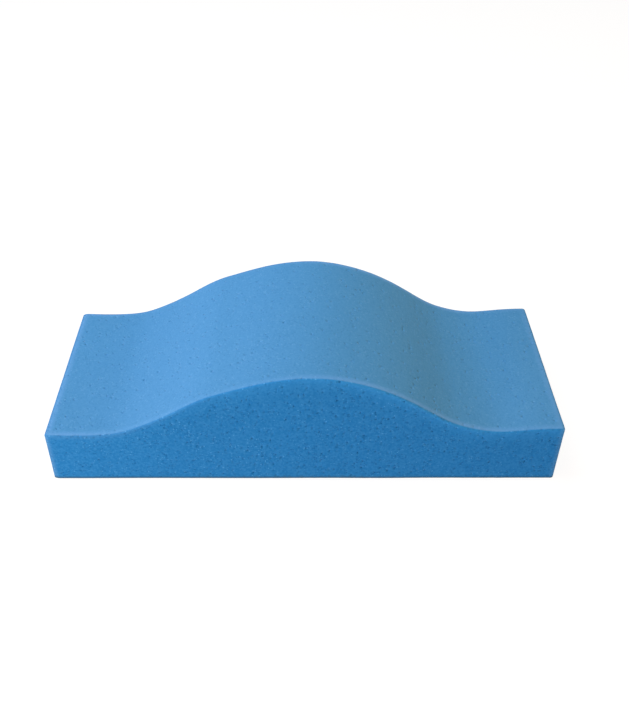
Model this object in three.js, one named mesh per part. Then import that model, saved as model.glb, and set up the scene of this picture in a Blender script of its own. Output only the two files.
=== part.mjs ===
// A bare foam pad for under the knees: one block, cut through from front to back along one wavy contour.
// Millimetres. X runs along the pad, Y from its front face to its back face, and Z up.
// The origin is the middle of the flat base.
import * as THREE from "three";

// Overall sizes
const LENGTH = 500;
const DEPTH = 200;

// Roundings of the soft cut edges
const FACE_ROUND = 2.5; // all round the front and the back face
const BASE_ROUND = 3; // where the two ends meet the base
const LEFT_ROUND = 6; // where the left end meets the top
const RIGHT_ROUND = 3.5; // where the right end meets the top

// The top contour, one row for each station from left to right: how far along from the left end it lies,
// its height over the base, and the slope of the contour there.
const CONTOUR = [
  { station: "left end", along: LEFT_ROUND, height: 59, slope: -0.02 },
  { station: "left shelf", along: 40, height: 58.5, slope: 0.03 },
  { station: "foot of the rise", along: 80, height: 65, slope: 0.4 },
  { station: "steepest rise", along: 130, height: 91, slope: 0.63 },
  { station: "shoulder", along: 165, height: 109.5, slope: 0.34 },
  { station: "upper shoulder", along: 205, height: 122.5, slope: 0.28 },
  { station: "crest", along: 257, height: 130, slope: 0 },
  { station: "start of the fall", along: 310, height: 120, slope: -0.35 },
  { station: "steepest fall", along: 365, height: 91, slope: -0.68 },
  { station: "foot of the fall", along: 400, height: 71, slope: -0.35 },
  { station: "right trough", along: 439, height: 63.5, slope: 0 },
  { station: "right rise", along: 475, height: 66.5, slope: 0.07 },
  { station: "right end", along: LENGTH - RIGHT_ROUND, height: 67.5, slope: 0.02 },
];

// Fineness of the mesh
const CURVE_STEPS = 6;
const DEPTH_STEPS = 4;
const ROUND_STEPS = 3;

// The finish
const FOAM_BLUE = 0x4a90cd;
const FOAM_ROUGHNESS = 0.95;

// One smooth stretch of the contour between two stations, with the slope that each of them states.
function smoothStretch(shape, from, to) {
  const third = (to.along - from.along) / 3;
  shape.bezierCurveTo(
    from.along + third - LENGTH / 2,
    from.height + third * from.slope,
    to.along - third - LENGTH / 2,
    to.height - third * to.slope,
    to.along - LENGTH / 2,
    to.height,
  );
}

// The outline of the front face: the base, the right end, the contour from right to left, and the left end.
function faceOutline() {
  const left = -LENGTH / 2;
  const right = LENGTH / 2;
  const stations = [...CONTOUR].reverse();
  const rightTop = stations[0].height;
  const leftTop = stations.at(-1).height;

  const shape = new THREE.Shape();
  shape.moveTo(left + BASE_ROUND, 0);
  shape.lineTo(right - BASE_ROUND, 0);
  shape.absarc(right - BASE_ROUND, BASE_ROUND, BASE_ROUND, -Math.PI / 2, 0);
  shape.absarc(right - RIGHT_ROUND, rightTop - RIGHT_ROUND, RIGHT_ROUND, 0, Math.PI / 2);
  stations.slice(1).forEach((station, i) => smoothStretch(shape, stations[i], station));
  shape.absarc(left + LEFT_ROUND, leftTop - LEFT_ROUND, LEFT_ROUND, Math.PI / 2, Math.PI);
  shape.absarc(left + BASE_ROUND, BASE_ROUND, BASE_ROUND, Math.PI, 1.5 * Math.PI);
  return shape;
}

// The whole block: the outline drawn out from the front face to the back, with both faces' edges rounded.
function foamBlock() {
  const geometry = new THREE.ExtrudeGeometry(faceOutline(), {
    depth: DEPTH - 2 * FACE_ROUND,
    steps: DEPTH_STEPS,
    curveSegments: CURVE_STEPS,
    bevelThickness: FACE_ROUND,
    bevelSize: FACE_ROUND,
    bevelOffset: -FACE_ROUND,
    bevelSegments: ROUND_STEPS,
  });
  const foam = new THREE.MeshStandardMaterial({
    color: FOAM_BLUE,
    roughness: FOAM_ROUGHNESS,
    metalness: 0,
  });
  const block = new THREE.Mesh(geometry, foam);
  block.name = "foam_block";
  block.rotation.x = Math.PI / 2;
  block.position.y = DEPTH / 2 - FACE_ROUND;
  return block;
}

const group = new THREE.Group();
group.add(foamBlock());

export default group;
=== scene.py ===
"""A bare blue foam pad for under the knees: one block, cut through along one wavy contour.

Everything is in metres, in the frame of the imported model: X runs along the pad, Y from its front
face to its back face, and Z up. The origin is the middle of the base.
"""

import logging
import math
import random
from dataclasses import dataclass
from enum import Enum
from typing import Any

import bmesh
import bpy
from mathutils import Matrix, Vector, noise

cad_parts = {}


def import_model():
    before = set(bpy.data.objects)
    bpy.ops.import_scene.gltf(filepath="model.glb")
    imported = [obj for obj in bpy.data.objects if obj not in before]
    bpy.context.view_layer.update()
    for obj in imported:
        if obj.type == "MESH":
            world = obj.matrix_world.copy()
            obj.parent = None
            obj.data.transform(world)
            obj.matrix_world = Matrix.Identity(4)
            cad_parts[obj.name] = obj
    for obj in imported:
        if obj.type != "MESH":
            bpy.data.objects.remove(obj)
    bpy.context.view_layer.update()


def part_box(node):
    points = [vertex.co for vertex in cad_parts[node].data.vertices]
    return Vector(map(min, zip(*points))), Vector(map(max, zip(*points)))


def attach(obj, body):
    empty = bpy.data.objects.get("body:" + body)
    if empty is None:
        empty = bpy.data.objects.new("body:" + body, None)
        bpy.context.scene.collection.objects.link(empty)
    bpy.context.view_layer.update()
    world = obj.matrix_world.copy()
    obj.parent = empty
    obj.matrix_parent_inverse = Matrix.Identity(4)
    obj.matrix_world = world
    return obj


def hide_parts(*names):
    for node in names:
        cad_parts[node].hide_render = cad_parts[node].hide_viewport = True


MM = 0.001
BODY = "root"
CAD_NODE = "foam_block"

# The blank runs from -2 to 2 along every axis, and it is flat from -1 to 1
BLANK_REACH = 2.0
BLANK_FLAT = 1.0

# The corners of a mesh face, and the faces and edges round an inner point
QUAD = 4

# Settings of the bevel operator: a round profile, and the faces' own material
ROUND_PROFILE = 0.5
OWN_MATERIAL = -1

Colour = tuple[float, float, float]
Place = tuple[float, float, float]
Range = tuple[float, float]

log = logging.getLogger("knee_pad")


def smooth_step(value: float, start: float, end: float) -> float:
    """Gives a smooth step.

    Args:
        value: The number that is read.
        start: Where the step starts, with a result of 0.
        end: Where it ends, with a result of 1.

    Returns:
        The stepped number.
    """
    t = min(max((value - start) / (end - start), 0.0), 1.0)
    return t * t * (3 - 2 * t)


@dataclass(frozen=True)
class Station:
    """One point of the top contour.

    Attributes:
        along: How far it lies from the left end.
        height: Its height over the base.
        slope: The slope of the contour there.
    """

    along: float
    height: float
    slope: float


@dataclass(frozen=True)
class Contour:
    """The line along which the saw cut the top.

    Attributes:
        stations: The points that it runs through, from the left end to the right end.
        slope_step: Half the run over which its slope is read.
    """

    stations: tuple[Station, ...] = (
        Station(0 * MM, 59.1 * MM, -0.02),
        Station(40 * MM, 58.5 * MM, 0.03),
        Station(80 * MM, 65 * MM, 0.4),
        Station(130 * MM, 91 * MM, 0.63),
        Station(165 * MM, 109.5 * MM, 0.34),
        Station(205 * MM, 122.5 * MM, 0.28),
        Station(257 * MM, 130 * MM, 0),
        Station(310 * MM, 120 * MM, -0.35),
        Station(365 * MM, 91 * MM, -0.68),
        Station(400 * MM, 71 * MM, -0.35),
        Station(439 * MM, 63.5 * MM, 0),
        Station(475 * MM, 66.5 * MM, 0.07),
        Station(500 * MM, 67.5 * MM, 0.02),
    )
    slope_step: float = 0.5 * MM

    def height(self, along: float) -> float:
        """Gives the height of the top over the base.

        Args:
            along: The distance from the left end.

        Returns:
            The height there, on the smooth stretch between its two stations.
        """
        stretches = list(zip(self.stations, self.stations[1:]))
        here = [s for s in stretches if s[0].along <= along] or stretches[:1]
        start, end = here[-1]
        run = end.along - start.along
        t = min(max((along - start.along) / run, 0.0), 1.0)
        back = (1 - t) ** 2
        from_start = (1 + 2 * t) * back * start.height + t * back * run * start.slope
        from_end = t * t * (3 - 2 * t) * end.height - t * t * (1 - t) * run * end.slope
        return from_start + from_end

    def slope(self, along: float) -> float:
        """The slope of the top at a distance from the left end."""
        step = self.slope_step
        return (self.height(along + step) - self.height(along - step)) / (2 * step)

    def upward(self, along: float) -> Vector:
        """The direction square to the top at a distance from the left end, of length 1."""
        return Vector((-self.slope(along), 0, 1)).normalized()


class Cut(Enum):
    """The two cuts that made the block, each with its share of the contour cut's look."""

    STRAIGHT = 0.0
    CONTOUR = 1.0

    @staticmethod
    def nearest(share: float) -> "Cut":
        """The cut whose look prevails at the given share of the contour cut's look."""
        return Cut.CONTOUR if share > 0.5 else Cut.STRAIGHT


@dataclass(frozen=True)
class Span:
    """The reach of the block along one axis, onto which one axis of the blank is laid.

    Attributes:
        low: Where the block starts.
        high: Where it ends.
        low_round: The rounding at its start.
        high_round: The rounding at its end.
    """

    low: float
    high: float
    low_round: float
    high_round: float

    def place(self, t: float) -> float:
        """Gives the real place of a point of the blank.

        Args:
            t: The point's coordinate on the blank.

        Returns:
            Its coordinate on the block, in metres.
        """
        if t < -BLANK_FLAT:
            return self.low + self.low_round * (t + BLANK_REACH)
        if t > BLANK_FLAT:
            return self.high - self.high_round * (BLANK_REACH - t)
        first = self.low + self.low_round
        last = self.high - self.high_round
        return first + (last - first) * (t + BLANK_FLAT) / (2 * BLANK_FLAT)


@dataclass(frozen=True)
class OpenCells:
    """One size of the large open cells that the saw laid bare.

    Attributes:
        radius: Half the width of a cell's mouth.
        wall: The width of the sloping wall inside the mouth.
        depth: How deep the cell is.
        spacing: The area of cut face that holds one such cell, for each cut.
    """

    radius: float
    wall: float
    depth: float
    spacing: dict[Cut, float]


@dataclass(frozen=True)
class Ripple:
    """One size of the unevenness that the saw left.

    Attributes:
        height: How far it lifts or sinks the face.
        pitch: How many of its waves a metre holds.
    """

    height: float
    pitch: float


class Mark(Enum):
    """What is written on the points of the mesh for the finish to read."""

    CONTOUR_CUT = "contour_cut"
    # A pale band along the edges: partly fuzz, partly painted highlight
    EDGE = "fuzz_and_highlight_band"
    # Painted glow below the top's edge, standing in for light that falls in through the top
    GLOW = "painted_edge_glow"
    # The sunk open cells, which the finish darkens with painted shade
    OPEN_CELL = "open_cell"
    # Painted shade along the base, where the block meets the floor
    PAINTED_BASE_SHADE = "painted_base_shade"


@dataclass(frozen=True)
class Spot:
    """Where a point of the block lies.

    Attributes:
        along: Its distance from the left end.
        ends: Its distance from the nearer end.
        faces: Its distance from the nearer of the front and the back face.
        depth: Its depth below the contour.
        height: Its height over the base.
        slope: The slope of the contour above it.
        facing: How nearly it faces the same way as the contour above it, 1 being just that way.
    """

    along: float
    ends: float
    faces: float
    depth: float
    height: float
    slope: float
    facing: float


@dataclass(frozen=True)
class EdgeBands:
    """The bands along the block's edges in which the cut foam is painted paler or darker.

    The pale band along the edges is partly the foam's fuzz and partly a painted highlight, painted
    stronger on the fall, which faces away from the lamps, than on the rise. Below the top's edge a
    painted glow stands in for light that falls in through the top, least at the left end, and the
    base is darkened with painted shade.
    the top makes the foam glow just below its edge, least at the left end.

    Attributes:
        top_from: How nearly a place has to face as the contour does, to start looking like the top.
        steep: The slope from which the pale band has its full strength for the rise or for the
            fall.
        rise_strength: The strength of the pale band on the rise.
        fall_strength: Its strength on the fall, which faces away from the lamps.
        top_band: How far the pale band reaches in over the top.
        upright_band: How far it reaches in from the upright edges.
        upright_share: Its strength there.
        dim_to: The distance from the left end up to which the glow is at its weakest.
        bright_from: The distance from which it is at its strongest.
        dim_share: The weakest glow as a share of the strongest.
        strip: How far down the strip reaches in which the glow is strong.
        strip_share: The strength of the glow that it adds.
        below_share: The strength of the pale band in that strip, where the painted glow is weak.
        wide_glow: How far down the glow reaches in all.
        wide_share: Its strength below the strip.
        base_shade_height: How far up from the base the painted shade reaches.
    """

    top_from: float = 0.82
    steep: float = 0.35
    rise_strength: float = 0.3
    fall_strength: float = 1.4
    top_band: float = 8.5 * MM
    upright_band: float = 7 * MM
    upright_share: float = 0.6
    dim_to: float = 60 * MM
    bright_from: float = 220 * MM
    dim_share: float = 0.25
    strip: float = 6 * MM
    strip_share: float = 0.18
    below_share: float = 0.35
    wide_glow: float = 20 * MM
    wide_share: float = 0.14
    base_shade_height: float = 4.2 * MM

    def marks(self, spot: Spot, rounding: float) -> dict[Mark, float]:
        """Gives what is to be written on a point of the block.

        Args:
            spot: Where the point lies.
            rounding: The rounding of the edges, inside which the pale band of the top is at its
                full.

        Returns:
            The value of every mark but that of the open cells, which are sunk later.
        """
        on_top = smooth_step(spot.facing, self.top_from, 1)
        on_side = 1 - on_top
        # The pale band is painted stronger on the fall, which faces away from the lamps
        on_fall = smooth_step(spot.slope, self.steep, -self.steep)
        lift = self.rise_strength + (self.fall_strength - self.rise_strength) * on_fall
        lit = smooth_step(spot.along, self.dim_to, self.bright_from)
        bright = self.dim_share + (1 - self.dim_share) * lit
        in_strip = smooth_step(spot.depth, self.strip, 0)

        # Bands of fuzz and painted highlight along the edges
        along_top = lift * on_top * smooth_step(min(spot.ends, spot.faces), self.top_band, rounding)
        upright = self.upright_share * smooth_step(max(spot.ends, spot.faces), self.upright_band, 0)
        below = self.below_share * on_side * (1 - bright) * in_strip
        # Painted glow below the top's edge, weakest at the left end
        near = lift * self.strip_share * in_strip
        wide = self.wide_share * smooth_step(spot.depth, self.wide_glow, 0)
        return {
            Mark.CONTOUR_CUT: on_top,
            Mark.EDGE: max(along_top, upright, below),
            Mark.GLOW: on_side * (near + wide) * bright,
            # Painted shade along the base
            Mark.PAINTED_BASE_SHADE: smooth_step(spot.height, self.base_shade_height, 0),
        }


class Graph:
    """A node tree that is put together one node at a time."""

    # The numbers of the sockets of a mix of colours
    MIX_FACTOR = 0
    MIX_COLOURS = (6, 7)
    MIX_RESULT = 2

    # How much finer detail a noise carries
    SOFT = 1.0
    ROUGH = 2.0

    def __init__(self, tree: bpy.types.NodeTree) -> None:
        """Starts on a tree with no nodes in it."""
        self.tree = tree
        tree.nodes.clear()

    def feed(self, socket: bpy.types.NodeSocket, value: Any) -> None:
        """Links a socket to another one, or sets it to a plain value.

        Args:
            socket: The input to feed.
            value: An output socket, a number, or a colour or vector.
        """
        if isinstance(value, bpy.types.NodeSocket):
            self.tree.links.new(value, socket)
        else:
            socket.default_value = value

    def add(
        self, kind: str, inputs: dict[str | int, Any] | None = None, **settings: Any
    ) -> bpy.types.Node:
        """Adds one node.

        Args:
            kind: The node's type.
            inputs: What feeds its input sockets, by name or by number.
            **settings: Its own settings.

        Returns:
            The new node.
        """
        node = self.tree.nodes.new(kind)
        for name, value in settings.items():
            setattr(node, name, value)
        for name, value in (inputs or {}).items():
            self.feed(node.inputs[name], value)
        return node

    def maths(self, operation: str, first: Any, second: Any = 0.0) -> bpy.types.NodeSocket:
        """Adds a sum of one or two numbers and returns its result."""
        node = self.add("ShaderNodeMath", {0: first, 1: second}, operation=operation)
        return node.outputs[0]

    def noise(self, place: Any, scale: Any, detail: float) -> bpy.types.Node:
        """Adds a cloudy noise of a number of waves to the metre, and returns its node."""
        inputs = {"Vector": place, "Scale": scale, "Detail": detail}
        return self.add("ShaderNodeTexNoise", inputs)

    def ramp(self, value: Any, read: Range, result: Range = (0.0, 1.0)) -> bpy.types.NodeSocket:
        """Adds a smooth step.

        Args:
            value: The number that is read.
            read: Where the step starts and where it ends.
            result: The result up to the start, and the result past the end.

        Returns:
            The stepped number.
        """
        inputs = {
            "Value": value,
            "From Min": read[0],
            "From Max": read[1],
            "To Min": result[0],
            "To Max": result[1],
        }
        node = self.add("ShaderNodeMapRange", inputs, interpolation_type="SMOOTHSTEP")
        return node.outputs["Result"]

    def level(self, value: Any, result: Range) -> bpy.types.NodeSocket:
        """Adds a straight scale, from the first result at 0 to the second at 1."""
        inputs = {"Value": value, "To Min": result[0], "To Max": result[1]}
        return self.add("ShaderNodeMapRange", inputs).outputs["Result"]

    def mix(self, factor: Any, first: Any, second: Any) -> bpy.types.NodeSocket:
        """Adds a mix of two colours.

        Args:
            factor: The share of the second colour.
            first: The colour at a share of 0.
            second: The colour at a share of 1.

        Returns:
            The mixed colour.
        """
        node = self.add("ShaderNodeMix", {self.MIX_FACTOR: factor}, data_type="RGBA")
        for number, colour in zip(self.MIX_COLOURS, (first, second)):
            plain = not isinstance(colour, bpy.types.NodeSocket)
            self.feed(node.inputs[number], (*colour, 1) if plain else colour)
        return node.outputs[self.MIX_RESULT]


class Effect:
    """A shader node group that a finish uses."""

    def __init__(self, name: str, sizes: tuple[str, ...], outputs: tuple[str, ...]) -> None:
        """Makes the group and its sockets.

        Args:
            name: The group's name.
            sizes: The names of the inputs, beside the place, which are all plain numbers.
            outputs: The names of the outputs, which are all plain numbers.
        """
        self.group = bpy.data.node_groups.new(name, "ShaderNodeTree")
        new_socket = self.group.interface.new_socket
        new_socket(name="Place", in_out="INPUT", socket_type="NodeSocketVector")
        for socket in sizes:
            new_socket(name=socket, in_out="INPUT", socket_type="NodeSocketFloat")
        for socket in outputs:
            new_socket(name=socket, in_out="OUTPUT", socket_type="NodeSocketFloat")
        self.graph = Graph(self.group)
        self.given = self.graph.add("NodeGroupInput").outputs
        self.wanted = self.graph.add("NodeGroupOutput").inputs

    def use(self, graph: Graph, **inputs: Any) -> bpy.types.NodeOutputs:
        """Places the group in a material, feeds its inputs by name and returns its outputs."""
        return graph.add("ShaderNodeGroup", inputs, node_tree=self.group).outputs


class CellEffect(Effect):
    """The small cut cells: mouths in painted shade, walls in painted highlight, and the relief of
    both.
    """

    # How far the cells are pushed out of shape, as a share of their size, and the mean of the push
    WARP = 0.5
    MEAN_SWIRL = (0.5, 0.5, 0.5)
    # The finest relief: how many times finer than the cells it is, and its share
    FINE_PITCH = 2.1
    FINE_SHARE = 0.35
    # The patches where open cells are few or many: their width in cells, and the share in each
    CROWD = 7.0
    CROWD_NOISE = (0.35, 0.65)
    CROWD_SHARES = (0.3, 1.7)
    # Where a cell's floor ends and where its wall does, out from its middle
    MIDDLE = (0.25, 0.62)

    def __init__(self) -> None:
        """Builds the group."""
        super().__init__("foam_cells", ("Size", "Share"), ("Mouth", "Wall Highlight", "Relief"))
        g = self.graph
        place = self.given["Place"]
        pitch = g.maths("DIVIDE", 1.0, self.given["Size"])
        middle, chances = self._cells(pitch)
        crowd = g.noise(place, g.maths("DIVIDE", pitch, self.CROWD), g.ROUGH)
        crowding = g.ramp(crowd.outputs["Fac"], self.CROWD_NOISE, self.CROWD_SHARES)
        share = g.maths("MULTIPLY", self.given["Share"], crowding)
        least = g.maths("SUBTRACT", 1.0, share)
        is_open = g.maths("GREATER_THAN", chances[0], least)
        may_shine = g.maths("GREATER_THAN", chances[1], least)
        # Cells whose walls get a painted highlight
        is_highlit = g.maths("MULTIPLY", may_shine, g.maths("SUBTRACT", 1.0, is_open))
        mouth = g.maths("MULTIPLY", middle, is_open)
        wall = g.maths("MULTIPLY", middle, is_highlit)
        fine_pitch = g.maths("MULTIPLY", pitch, self.FINE_PITCH)
        fine = g.add("ShaderNodeTexVoronoi", {"Vector": place, "Scale": fine_pitch})
        fine_relief = g.maths("MULTIPLY", fine.outputs["Distance"], self.FINE_SHARE)
        g.feed(self.wanted["Mouth"], mouth)
        g.feed(self.wanted["Wall Highlight"], wall)
        g.feed(self.wanted["Relief"], g.maths("SUBTRACT", fine_relief, mouth))

    def _cells(
        self, pitch: bpy.types.NodeSocket
    ) -> tuple[bpy.types.NodeSocket, list[bpy.types.NodeSocket]]:
        """Lays out the cells.

        Args:
            pitch: The number of cells in a metre.

        Returns:
            How near each point lies to the middle of its cell, and two random numbers of the cell.
        """
        g = self.graph
        place = self.given["Place"]
        swirl = g.noise(place, pitch, g.SOFT).outputs["Color"]
        inputs = {0: swirl, 1: self.MEAN_SWIRL}
        centred = g.add("ShaderNodeVectorMath", inputs, operation="SUBTRACT")
        warp = g.maths("MULTIPLY", self.given["Size"], self.WARP)
        inputs = {0: centred.outputs[0], "Scale": warp}
        pushed = g.add("ShaderNodeVectorMath", inputs, operation="SCALE")
        inputs = {0: place, 1: pushed.outputs[0]}
        warped = g.add("ShaderNodeVectorMath", inputs, operation="ADD")
        cells = g.add("ShaderNodeTexVoronoi", {"Vector": warped.outputs[0], "Scale": pitch})
        middle = g.ramp(cells.outputs["Distance"], self.MIDDLE, (1.0, 0.0))
        parts = g.add("ShaderNodeSeparateColor", {"Color": cells.outputs["Color"]})
        return middle, [parts.outputs["Red"], parts.outputs["Green"]]


class GrainEffect(Effect):
    """The faint cloudiness of a foam block, and the fine grain of its cut faces."""

    CLOUD_NOISE = (0.3, 0.7)
    GRAIN_NOISE = (0.25, 0.75)

    def __init__(self) -> None:
        """Builds the group."""
        super().__init__("foam_grain", ("Patch", "Grain"), ("Cloud", "Grain"))
        g = self.graph
        place = self.given["Place"]
        cloud = g.noise(place, g.maths("DIVIDE", 1.0, self.given["Patch"]), g.ROUGH)
        grain = g.noise(place, g.maths("DIVIDE", 1.0, self.given["Grain"]), g.SOFT)
        g.feed(self.wanted["Cloud"], g.ramp(cloud.outputs["Fac"], self.CLOUD_NOISE))
        g.feed(self.wanted["Grain"], g.ramp(grain.outputs["Fac"], self.GRAIN_NOISE))


class EdgeEffect(Effect):
    """Fuzz and painted highlight along a cut edge, a little broken up along its way."""

    WORN_NOISE = (0.25, 0.75)
    KEPT = (0.7, 1.0)

    def __init__(self) -> None:
        """Builds the group."""
        super().__init__("edge_fuzz_and_highlight", ("Nearness", "Break"), ("Fuzz and Highlight",))
        g = self.graph
        worn = g.noise(self.given["Place"], g.maths("DIVIDE", 1.0, self.given["Break"]), g.ROUGH)
        kept = g.ramp(worn.outputs["Fac"], self.WORN_NOISE, self.KEPT)
        g.feed(self.wanted["Fuzz and Highlight"], g.maths("MULTIPLY", self.given["Nearness"], kept))


@dataclass(frozen=True)
class Effects:
    """The node groups of the foam.

    Attributes:
        cells: The small cut cells.
        grain: The clouds and the grain.
        edge: The fuzz and painted highlight along the cut edges.
    """

    cells: CellEffect
    grain: GrainEffect
    edge: EdgeEffect


@dataclass(frozen=True)
class CutLook:
    """The look that one cut left on the foam, partly its own look and partly painted light: the
    contour cut's paler colours hold painted sheen, the straight cuts' darker ones painted shade.

    Attributes:
        colour: The foam's own colour on this cut.
        deep: Its darker colour, in the clouds and the grain, and as painted shade down in an open
            cell.
        pale: Its paler colour, in the grain, and as a painted highlight where a cell wall faces the
            light.
        fuzz_and_highlight_colour: The colour of a cut edge's band of fuzz and painted highlight.
        cells: How strongly the small cells show.
        grain: How strongly the grain shows.
        fuzz_and_highlight: How strongly that band shows.
    """

    colour: Colour
    deep: Colour
    pale: Colour
    fuzz_and_highlight_colour: Colour
    cells: float
    grain: float
    fuzz_and_highlight: float


@dataclass(frozen=True)
class FoamFinish:
    """The foam's finish, which goes over from one cut's look to the other round the top's edges.

    Attributes:
        straight: The look of the straight cuts.
        contour: The look of the contour cut.
        glow_colour: The colour of the painted glow below the top's edges.
        base_shade_colour: The colour of the painted shade along the base.
        cell_size: The size of the small cells.
        cell_share: The share of them that are open, and the share that are bright.
        relief: How deep they are.
        cloud_size: The width of the block's cloudy patches.
        cloud_strength: How strongly those show.
        grain_size: The width of the grain.
        edge_break: The width of the gaps in the pale band along an edge.
        roughness: How matt the foam is, at least and at most.
        specular: How strongly its surface reflects.
        refraction: The refractive index of the foam's skin.
        sheen: How strongly the fuzz of its faces shines at a low angle.
        sheen_roughness: How matt that fuzz is.
    """

    straight: CutLook
    contour: CutLook
    glow_colour: Colour
    base_shade_colour: Colour
    cell_size: float = 1.9 * MM
    cell_share: float = 0.13
    relief: float = 0.35 * MM
    cloud_size: float = 70 * MM
    cloud_strength: float = 0.08
    grain_size: float = 2.2 * MM
    edge_break: float = 6 * MM
    roughness: Range = (0.86, 0.98)
    specular: float = 0.15
    refraction: float = 1.4
    sheen: float = 0.05
    sheen_roughness: float = 0.4

    NAME = "blue_foam"

    def material(self, effects: Effects) -> bpy.types.Material:
        """Builds the finish.

        Args:
            effects: The foam's node groups.

        Returns:
            The material.
        """
        material = bpy.data.materials.new(self.NAME)
        material.use_nodes = True
        g = Graph(material.node_tree)
        place = g.add("ShaderNodeTexCoord").outputs["Object"]
        marks = {mark: self._read(g, mark) for mark in Mark}
        cells = effects.cells.use(g, Place=place, Size=self.cell_size, Share=self.cell_share)
        grain = effects.grain.use(g, Place=place, Patch=self.cloud_size, Grain=self.grain_size)
        edge = effects.edge.use(
            g, Place=place, Nearness=marks[Mark.EDGE], Break=self.edge_break
        )
        cell_strength = self._strength(g, marks, "cells")
        height = g.maths("MULTIPLY", cells["Relief"], cell_strength)
        bump = g.add(
            "ShaderNodeBump", {"Height": height, "Strength": 1.0, "Distance": self.relief}
        )
        foam = self._foam_colour(g, marks, cells, grain, cell_strength)
        surface = g.add(
            "ShaderNodeBsdfPrincipled",
            {
                "Base Color": self._edge_colour(g, marks, foam, edge["Fuzz and Highlight"]),
                "Roughness": g.level(grain["Grain"], self.roughness),
                "Normal": bump.outputs["Normal"],
                "IOR": self.refraction,
                "Specular IOR Level": self.specular,
                "Sheen Weight": self.sheen,
                "Sheen Roughness": self.sheen_roughness,
            },
        )
        g.add("ShaderNodeOutputMaterial", {"Surface": surface.outputs["BSDF"]})
        return material

    def _read(self, g: Graph, mark: Mark) -> bpy.types.NodeSocket:
        """Reads one of the marks that are written on the mesh."""
        return g.add("ShaderNodeAttribute", attribute_name=mark.value).outputs["Fac"]

    def _colour(
        self, g: Graph, marks: dict[Mark, bpy.types.NodeSocket], part: str
    ) -> bpy.types.NodeSocket:
        """One of the colours of the two cuts' looks, going over from one cut to the other."""
        on_top = marks[Mark.CONTOUR_CUT]
        return g.mix(on_top, getattr(self.straight, part), getattr(self.contour, part))

    def _strength(
        self, g: Graph, marks: dict[Mark, bpy.types.NodeSocket], part: str
    ) -> bpy.types.NodeSocket:
        """One of the strengths of the two cuts' looks, going over from one cut to the other."""
        on_top = marks[Mark.CONTOUR_CUT]
        return g.level(on_top, (getattr(self.straight, part), getattr(self.contour, part)))

    def _foam_colour(
        self,
        g: Graph,
        marks: dict[Mark, bpy.types.NodeSocket],
        cells: bpy.types.NodeOutputs,
        grain: bpy.types.NodeOutputs,
        cell_strength: bpy.types.NodeSocket,
    ) -> bpy.types.NodeSocket:
        """Gives the colour of the cut foam away from its edges.

        Args:
            g: The material's nodes.
            marks: The marks read from the mesh.
            cells: The small cells.
            grain: The clouds and the grain.
            cell_strength: How strongly the cells show.

        Returns:
            The colour, with its clouds, grain and cells.
        """
        colour, deep, pale = (self._colour(g, marks, part) for part in ("colour", "deep", "pale"))
        clouds = g.maths("MULTIPLY", grain["Cloud"], self.cloud_strength)
        cloudy = g.mix(clouds, colour, deep)
        speckled = g.mix(grain["Grain"], deep, pale)
        grained = g.mix(self._strength(g, marks, "grain"), cloudy, speckled)
        # Open mouths, of the small cells and of the sunk cells, are darkened with painted shade
        mouths = g.maths("MAXIMUM", cells["Mouth"], marks[Mark.OPEN_CELL])
        shade_pitted = g.mix(g.maths("MULTIPLY", mouths, cell_strength), grained, deep)
        # Cell walls get a painted highlight
        return g.mix(g.maths("MULTIPLY", cells["Wall Highlight"], cell_strength), shade_pitted, pale)

    def _edge_colour(
        self,
        g: Graph,
        marks: dict[Mark, bpy.types.NodeSocket],
        foam: bpy.types.NodeSocket,
        fuzz_and_highlight: bpy.types.NodeSocket,
    ) -> bpy.types.NodeSocket:
        """Gives the colour of the cut foam with the bands along its edges.

        Args:
            g: The material's nodes.
            marks: The marks read from the mesh.
            foam: The foam's colour away from its edges.
            fuzz_and_highlight: The fuzz of the edges.

        Returns:
            The colour, with its painted glow, its fuzz and painted highlight, and the painted shade
            along the base.
        """
        # Lays on the painted glow below the top's edge
        glowing = g.mix(marks[Mark.GLOW], foam, self.glow_colour)
        # Lays on the pale band of fuzz and painted highlight
        shown = g.maths("MULTIPLY", fuzz_and_highlight, self._strength(g, marks, "fuzz_and_highlight"))
        edged = g.mix(shown, glowing, self._colour(g, marks, "fuzz_and_highlight_colour"))
        # Darkens the base with painted shade
        return g.mix(marks[Mark.PAINTED_BASE_SHADE], edged, self.base_shade_colour)


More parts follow.
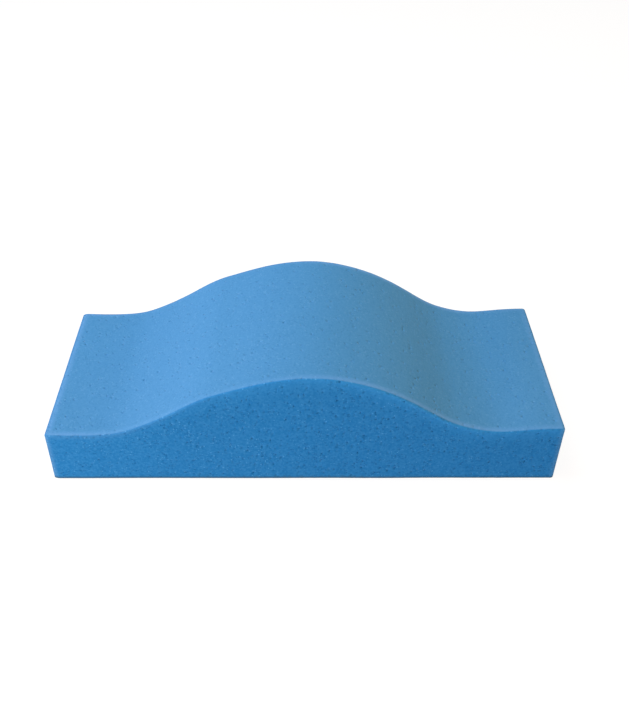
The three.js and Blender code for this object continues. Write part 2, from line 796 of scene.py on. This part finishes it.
@dataclass
class FoamBlock:
    """The pad: one block of open-cell foam, cut straight on five sides and wavy on top.

    Attributes:
        low: The lowest corner of its box.
        high: The highest corner of its box.
        contour: The line of its top.
        finish: Its finish.
        bands: The bands along its edges.
        left_round: How far the rounding of the edges reaches in from the left end.
        right_round: How far it reaches in from the right end.
        face_round: How far it reaches in from the front and the back face.
        top_round: How far it reaches down from the top.
        base_round: How far it reaches up from the base.
        steps: The columns or rows of the mesh along each axis.
        round_steps: The rows of the mesh in each rounding.
        looseness: How far the mesh's points stray, as a share of a column or row.
        ripples: The unevenness of the cut faces.
        finest: The finest unevenness, from point to point.
        cells: The sizes of the large open cells.
        mouth_spread: How far the corners of their mouths lie out, as a share of the radius.
        room: How long every edge round a point must be to hold a cell, in radii.
        seed: Where the random draws start.
    """

    low: Vector
    high: Vector
    contour: Contour
    finish: FoamFinish
    bands: EdgeBands = EdgeBands()
    left_round: float = 6 * MM
    right_round: float = 3 * MM
    face_round: float = 3 * MM
    top_round: float = 2.2 * MM
    base_round: float = 0.5 * MM
    steps: tuple[int, int, int] = (196, 78, 30)
    round_steps: int = 4
    looseness: float = 0.3
    ripples: tuple[Ripple, ...] = (Ripple(0.30 * MM, 14), Ripple(0.06 * MM, 120))
    finest: float = 0.02 * MM
    cells: tuple[OpenCells, ...] = (
        OpenCells(
            radius=0.95 * MM,
            wall=0.35 * MM,
            depth=0.8 * MM,
            spacing={Cut.CONTOUR: 2500 * MM * MM, Cut.STRAIGHT: 900 * MM * MM},
        ),
        OpenCells(
            radius=0.7 * MM,
            wall=0.27 * MM,
            depth=0.6 * MM,
            spacing={Cut.CONTOUR: 600 * MM * MM, Cut.STRAIGHT: 250 * MM * MM},
        ),
        OpenCells(
            radius=0.5 * MM,
            wall=0.2 * MM,
            depth=0.45 * MM,
            spacing={Cut.CONTOUR: 350 * MM * MM, Cut.STRAIGHT: 160 * MM * MM},
        ),
    )
    mouth_spread: Range = (0.75, 1.1)
    room: float = 1.4
    seed: int = 11

    NAME = "foam_pad"

    def build(self, effects: Effects) -> bpy.types.Object:
        """Makes the pad as one closed mesh and dresses it.

        Args:
            effects: The foam's node groups.

        Returns:
            The pad's object.
        """
        rng = random.Random(self.seed)
        bm = self._blank()
        self._loosen(bm, rng)
        self._cut_to_shape(bm)
        self._mark(bm)
        self._roughen(bm, rng)
        self._open_cells(bm, rng)
        bm.normal_update()
        mesh = bpy.data.meshes.new(self.NAME)
        bm.to_mesh(mesh)
        bm.free()
        mesh.polygons.foreach_set("use_smooth", [True] * len(mesh.polygons))
        mesh.materials.append(self.finish.material(effects))
        pad = bpy.data.objects.new(self.NAME, mesh)
        bpy.context.scene.collection.objects.link(pad)
        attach(pad, BODY)
        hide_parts(CAD_NODE)
        return pad

    def _blank(self) -> bmesh.types.BMesh:
        """Makes the blank.

        Returns:
            A cube with rounded edges, its flats cut into the mesh's columns and rows.
        """
        bm = bmesh.new()
        bmesh.ops.create_cube(bm, size=2 * BLANK_REACH)
        bmesh.ops.bevel(
            bm,
            geom=bm.edges[:],
            offset=BLANK_REACH - BLANK_FLAT,
            offset_type="OFFSET",
            affect="EDGES",
            segments=self.round_steps,
            profile=ROUND_PROFILE,
            material=OWN_MATERIAL,
        )
        for axis, count in enumerate(self.steps):
            across = [
                edge
                for edge in bm.edges
                if abs(edge.verts[0].co[axis] - edge.verts[1].co[axis]) > BLANK_FLAT
            ]
            bmesh.ops.subdivide_edges(bm, edges=across, cuts=count - 1, use_grid_fill=False)
        return bm

    def _loosen(self, bm: bmesh.types.BMesh, rng: random.Random) -> None:
        """Shifts the blank's inner points a little in their faces, so that no row looks ruled.

        Args:
            bm: The blank.
            rng: The source of the shifts.
        """
        reach = [self.looseness * 2 * BLANK_FLAT / count for count in self.steps]
        for vert in bm.verts:
            for axis in range(3):
                shift = rng.uniform(-reach[axis], reach[axis])
                if abs(vert.co[axis]) < BLANK_FLAT - reach[axis] * 2:
                    vert.co[axis] += shift

    def _cut_to_shape(self, bm: bmesh.types.BMesh) -> None:
        """Gives the blank the block's sizes, and its top the contour.

        Args:
            bm: The blank.
        """
        along = Span(self.low.x, self.high.x, self.left_round, self.right_round)
        across = Span(self.low.y, self.high.y, self.face_round, self.face_round)
        for vert in bm.verts:
            x = along.place(vert.co.x)
            top = self.contour.height(x - self.low.x)
            up = Span(self.low.z, self.low.z + top, self.base_round, self.top_round)
            vert.co = (x, across.place(vert.co.y), up.place(vert.co.z))
        bm.normal_update()

    def _mark(self, bm: bmesh.types.BMesh) -> None:
        """Writes on each point which cut made it, and what bands of the edges it lies in.

        Args:
            bm: The block.
        """
        written = (Mark.CONTOUR_CUT, Mark.EDGE, Mark.GLOW, Mark.PAINTED_BASE_SHADE)
        for mark in written:
            bm.verts.layers.float.new(mark.value)
        layers = {mark: bm.verts.layers.float[mark.value] for mark in written}
        for vert in bm.verts:
            for mark, value in self.bands.marks(self._spot(vert), self.face_round).items():
                vert[layers[mark]] = value

    def _spot(self, vert: bmesh.types.BMVert) -> Spot:
        """Finds out where a point of the block lies.

        Args:
            vert: The point.

        Returns:
            Its distances and its direction.
        """
        place = vert.co
        along = place.x - self.low.x
        return Spot(
            along=along,
            ends=min(along, self.high.x - place.x),
            faces=min(place.y - self.low.y, self.high.y - place.y),
            depth=self.low.z + self.contour.height(along) - place.z,
            height=place.z - self.low.z,
            slope=self.contour.slope(along),
            facing=vert.normal.dot(self.contour.upward(along)),
        )

    def _roughen(self, bm: bmesh.types.BMesh, rng: random.Random) -> None:
        """Makes every side but the base as uneven as cut foam is.

        Args:
            bm: The block.
            rng: The source of the finest unevenness.
        """
        shifts = []
        for vert in bm.verts:
            place = vert.co
            waves = sum(wave.height * noise.noise(place * wave.pitch) for wave in self.ripples)
            share = min(max((place.z - self.low.z) / self.base_round, 0.0), 1.0)
            shifts.append(vert.normal * (waves + rng.gauss(0, self.finest)) * share)
        for vert, shift in zip(bm.verts, shifts):
            vert.co += shift
            vert.co.z = max(vert.co.z, self.low.z)

    def _open_cells(self, bm: bmesh.types.BMesh, rng: random.Random) -> None:
        """Sinks the larger open cells into the cut faces, each one round a point of the mesh.

        Args:
            bm: The block.
            rng: Chooses the points and the shapes.
        """
        pit_layer = bm.verts.layers.float.new(Mark.OPEN_CELL.value)
        for size in self.cells:
            opened = bmesh.ops.bevel(
                bm,
                geom=self._points_for(bm, size, rng),
                offset=size.radius,
                offset_type="OFFSET",
                affect="VERTICES",
                segments=1,
                profile=ROUND_PROFILE,
                material=OWN_MATERIAL,
            )
            mouths = [face for face in opened["faces"] if face.is_valid]
            rims = list(dict.fromkeys(edge for face in mouths for edge in face.edges))
            bmesh.ops.subdivide_edges(bm, edges=rims, cuts=1, use_grid_fill=False)
            for face in mouths:
                middle = face.calc_center_median()
                for vert in face.verts:
                    way = (vert.co - middle).normalized()
                    vert.co = middle + way * size.radius * rng.uniform(*self.mouth_spread)
            bmesh.ops.inset_individual(
                bm, faces=mouths, thickness=size.wall, depth=-size.depth, use_even_offset=True
            )
            for face in mouths:
                for vert in face.verts:
                    vert[pit_layer] = 1.0

    def _points_for(
        self, bm: bmesh.types.BMesh, size: OpenCells, rng: random.Random
    ) -> list[bmesh.types.BMVert]:
        """Chooses where the cells of one size lie.

        Args:
            bm: The block.
            size: The size of the cells.
            rng: Makes the choice.

        Returns:
            The points, none of them on the base, at an edge or beside another one.
        """
        bm.normal_update()
        cut_layer = bm.verts.layers.float[Mark.CONTOUR_CUT.value]
        base_shade_layer = bm.verts.layers.float[Mark.PAINTED_BASE_SHADE.value]
        taken = set()
        points = []
        for vert in bm.verts:
            area = sum(face.calc_area() for face in vert.link_faces) / QUAD
            chance = area / size.spacing[Cut.nearest(vert[cut_layer])]
            if rng.random() > chance or vert[base_shade_layer] > 0 or vert.index in taken:
                continue
            shortest = min(edge.calc_length() for edge in vert.link_edges)
            if len(vert.link_edges) != QUAD or shortest < self.room * size.radius:
                continue
            if any(len(face.verts) != QUAD for face in vert.link_faces):
                continue
            points.append(vert)
            taken.update(near.index for face in vert.link_faces for near in face.verts)
        return points


@dataclass(frozen=True)
class SoftBox:
    """One soft studio lamp.

    Attributes:
        name: Its name.
        place: Where it hangs.
        aim: The point that it faces.
        size: The length of its sides.
        power: Its power in watts.
        colour: Its colour.
    """

    name: str
    place: Place
    aim: Place
    size: float
    power: float
    colour: Colour

    def hang(self) -> None:
        """Makes the lamp and turns it to its aim."""
        light = bpy.data.lights.new(self.name, "AREA")
        light.shape = "SQUARE"
        light.size = self.size
        light.energy = self.power
        light.color = self.colour
        lamp = bpy.data.objects.new(self.name, light)
        lamp.location = self.place
        way = Vector(self.aim) - Vector(self.place)
        lamp.rotation_euler = way.to_track_quat("-Z", "Y").to_euler()
        lamp.visible_camera = False
        bpy.context.scene.collection.objects.link(lamp)
        log.info("lamp %s", self.name)


@dataclass(frozen=True)
class Viewpoint:
    """The camera, where the photo was taken from.

    Attributes:
        place: Where it stands.
        pitch: How far it looks down, in degrees.
        yaw: How far it is turned to the right.
        roll: How far it is tipped to the right.
        lens: Its focal length in millimetres.
        sensor: The length of its sensor's longer side in millimetres.
        nearest: The nearest distance that it shows.
    """

    place: Place = (-0.0057, -0.7055, 0.6416)
    pitch: float = 39.03
    yaw: float = 1.28
    roll: float = -0.88
    lens: float = 43.47
    sensor: float = 36.0
    nearest: float = 0.05

    def take(self) -> None:
        """Makes the camera and stands it in its place."""
        data = bpy.data.cameras.new("camera")
        data.lens = self.lens
        data.sensor_width = self.sensor
        data.clip_start = self.nearest
        camera = bpy.data.objects.new("camera", data)
        turn = Matrix.Rotation(math.radians(-self.yaw), 4, "Z")
        tip = Matrix.Rotation(math.radians(90 - self.pitch), 4, "X")
        tilt = Matrix.Rotation(math.radians(-self.roll), 4, "Z")
        camera.matrix_world = Matrix.Translation(self.place) @ turn @ tip @ tilt
        bpy.context.scene.collection.objects.link(camera)
        bpy.context.scene.camera = camera


@dataclass(frozen=True)
class Studio:
    """The floor, the backdrop, the lamps and the camera.

    Attributes:
        lamps: The lamps.
        viewpoint: The camera.
        floor_side: The length of the floor's sides.
        backdrop_radius: The radius of the round backdrop.
        backdrop_steps: The columns and rows of its mesh.
        colour: The colour of both.
        roughness: How matt both are.
        glow: How brightly both shine by themselves. The floor's glow also lights the pad.
        glow_colour: The colour of that glow.
    """

    lamps: tuple[SoftBox, ...] = (
        SoftBox(
            name="overhead",
            place=(-0.8, 0.2, 1.7),
            aim=(0, 0, 0.05),
            size=1.2,
            power=33,
            colour=(0.93, 0.96, 1),
        ),
        SoftBox(
            name="low_left",
            place=(-0.7, -0.9, 0.1),
            aim=(-0.15, 0, 0.05),
            size=0.5,
            power=18,
            colour=(1, 0.55, 0.44),
        ),
        SoftBox(
            name="warm_right",
            place=(1.8, 0.0, 1.0),
            aim=(0, 0, 0.05),
            size=1.0,
            power=19,
            colour=(1, 0.59, 0.26),
        ),
    )
    viewpoint: Viewpoint = Viewpoint()
    floor_side: float = 8.0
    backdrop_radius: float = 6.0
    backdrop_steps: tuple[int, int] = (48, 24)
    colour: Colour = (0.15, 0.15, 0.15)
    roughness: float = 0.9
    glow: float = 0.93
    glow_colour: Colour = (1, 1, 1)

    def set_up(self) -> None:
        """Makes the floor, the backdrop, the lamps, the dark sky and the camera."""
        self._floor()
        self._backdrop()
        for lamp in self.lamps:
            lamp.hang()
        self._sky()
        self.viewpoint.take()
        bpy.context.scene.view_settings.view_transform = "Standard"

    def _floor(self) -> None:
        """Lays the floor."""
        bm = bmesh.new()
        bmesh.ops.create_grid(bm, x_segments=1, y_segments=1, size=self.floor_side / 2)
        self._surround("floor", bm)

    def _backdrop(self) -> None:
        """Hangs the backdrop, which the camera sees, and which neither lights nor shades."""
        bm = bmesh.new()
        columns, rows = self.backdrop_steps
        bmesh.ops.create_uvsphere(
            bm, u_segments=columns, v_segments=rows, radius=self.backdrop_radius
        )
        bmesh.ops.reverse_faces(bm, faces=bm.faces[:])
        backdrop = self._surround("backdrop", bm)
        backdrop.visible_diffuse = False
        backdrop.visible_glossy = False
        backdrop.visible_shadow = False

    def _surround(self, name: str, bm: bmesh.types.BMesh) -> bpy.types.Object:
        """Makes a pale surface round the pad, which isn't part of it.

        Args:
            name: Its name.
            bm: Its shape.

        Returns:
            The surface's object.
        """
        mesh = bpy.data.meshes.new(name)
        bm.to_mesh(mesh)
        bm.free()
        surface = bpy.data.objects.new(name, mesh)
        bpy.context.scene.collection.objects.link(surface)
        material = bpy.data.materials.new(f"pale_{name}")
        material.use_nodes = True
        g = Graph(material.node_tree)
        inputs = {
            "Base Color": (*self.colour, 1),
            "Roughness": self.roughness,
            "Specular IOR Level": 0.0,
            "Emission Color": (*self.glow_colour, 1),
            "Emission Strength": self.glow,
        }
        shader = g.add("ShaderNodeBsdfPrincipled", inputs)
        g.add("ShaderNodeOutputMaterial", {"Surface": shader.outputs["BSDF"]})
        mesh.materials.append(material)
        return surface

    def _sky(self) -> None:
        """Makes the sky dark, so that all the light comes from the lamps and the floor."""
        world = bpy.data.worlds.new("studio")
        world.use_nodes = True
        world.node_tree.nodes["Background"].inputs["Strength"].default_value = 0.0
        bpy.context.scene.world = world


FINISH = FoamFinish(
    # The straight cuts' colours are darker, partly with painted shade
    straight=CutLook(
        colour=(0.008, 0.175, 0.49),
        deep=(0.003, 0.112, 0.353),
        pale=(0.095, 0.41, 0.78),
        fuzz_and_highlight_colour=(0.2, 0.42, 0.65),
        cells=0.62,
        grain=0.14,
        fuzz_and_highlight=0.4,
    ),
    # The contour cut's colours are paler, partly with painted sheen
    contour=CutLook(
        colour=(0.075, 0.308, 0.635),
        deep=(0.045, 0.235, 0.52),
        pale=(0.16, 0.43, 0.75),
        fuzz_and_highlight_colour=(0.2, 0.47, 0.95),
        cells=0.36,
        grain=0.16,
        fuzz_and_highlight=0.35,
    ),
    # The colour of the painted glow below the top's edges
    glow_colour=(0.05, 0.42, 1.0),
    # The colour of the painted shade along the base
    base_shade_colour=(0.02, 0.09, 0.15),
)


def main() -> None:
    """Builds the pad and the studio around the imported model."""
    logging.basicConfig(level=logging.INFO, format="%(name)s: %(message)s")
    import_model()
    low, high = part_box(CAD_NODE)
    effects = Effects(CellEffect(), GrainEffect(), EdgeEffect())
    pad = FoamBlock(low, high, Contour(), FINISH).build(effects)
    log.info("%s: %d faces", pad.name, len(pad.data.polygons))
    Studio().set_up()


if __name__ == "__main__":
    main()
